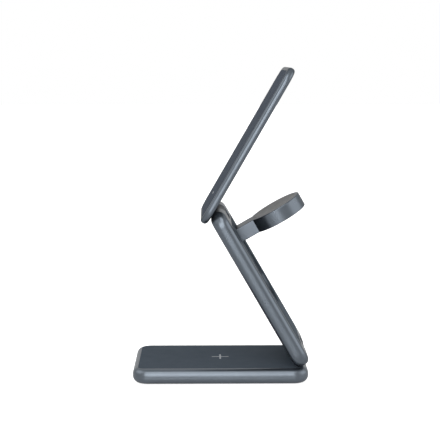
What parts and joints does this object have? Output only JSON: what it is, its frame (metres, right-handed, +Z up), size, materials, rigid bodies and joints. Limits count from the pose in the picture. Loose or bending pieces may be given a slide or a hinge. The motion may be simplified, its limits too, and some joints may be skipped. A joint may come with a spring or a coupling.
{
  "type": "folding wireless charger",
  "caption": "Folding charging stand: flat base pad, forward-leaning stem, tilted phone panel and a swing-out watch disc on an arm.",
  "frame": {"origin": "middle of the base's underside, on the surface that the stand rests on", "axes": "+X along the hinges, -Y is the front that the phone panel faces, +Z up"},
  "size_m": [0.066, 0.112, 0.1989],
  "materials": {
    "slate_metal": "satin anodised",
    "dark_plate": "fine matte",
    "pale_mark": "matte",
    "rubber": "matte",
    "cover_plastic": "matte",
    "charge_face": "satin",
    "steel": "satin",
    "bush_metal": "satin",
    "copper": "wound wire",
    "ferrite": "matte",
    "board": "gloss",
    "chip": "matte"
  },
  "bodies": {
    "base": {"base_housing": "slate_metal", "base_top_plate": "dark_plate", "base_charge_mark": "pale_mark", "base_bottom_cover": "cover_plastic", "base_foot_ring": "rubber", "base_cover_screws": "steel", "base_circuit_board": "board", "base_board_chips": "chip", "base_power_inductors": "ferrite", "inlet_shell": "steel", "inlet_tongue": "chip", "base_ballast": "steel", "base_coil": "copper", "base_ferrite": "ferrite", "base_coil_carrier": "cover_plastic", "lower_hinge_bracket": "steel", "lower_hinge_screws": "steel", "lower_hinge_pin": "steel"},
    "stem": {"stem_housing": "slate_metal", "stem_front_plate": "dark_plate", "stem_back_plate": "dark_plate", "stem_relay_board": "board", "stem_relay_chips": "chip", "lower_hinge_bushes": "bush_metal", "upper_hinge_bushes": "bush_metal", "watch_hinge_pin": "steel", "watch_hinge_washers": "steel"},
    "phone_panel": {"phone_shell": "slate_metal", "phone_face_plate": "dark_plate", "phone_face_mark": "pale_mark", "phone_magnet_ring": "steel", "phone_ferrite": "ferrite", "phone_coil": "copper", "phone_circuit_board": "board", "phone_board_chips": "chip", "upper_hinge_bracket": "steel", "upper_hinge_screws": "steel", "upper_hinge_pin": "steel"},
    "watch_arm": {"watch_arm_housing": "slate_metal", "watch_charge_face": "charge_face", "watch_ferrite": "ferrite", "watch_coil": "copper", "watch_magnet": "steel", "watch_circuit_board": "board", "watch_bottom_cover": "cover_plastic"}
  },
  "joints": [
    {"name": "lower_fold", "type": "hinge", "parent": "base", "child": "stem", "pos_m": [0, 0.0507, 0.0154], "axis": [1, 0, 0], "range_deg": [0, 60]},
    {"name": "upper_fold", "type": "hinge", "parent": "stem", "child": "phone_panel", "pos_m": [0, -0.0009, 0.10477], "axis": [1, 0, 0], "range_deg": [-120, 0]},
    {"name": "watch_fold", "type": "hinge", "parent": "stem", "child": "watch_arm", "pos_m": [0, 0.00836, 0.08963], "axis": [1, 0, 0], "range_deg": [-90, 0]}
  ],
  "couplings": [
    {"joint": "upper_fold", "follows": "lower_fold", "ratio": -2},
    {"joint": "watch_fold", "follows": "lower_fold", "ratio": -1.5}
  ]
}
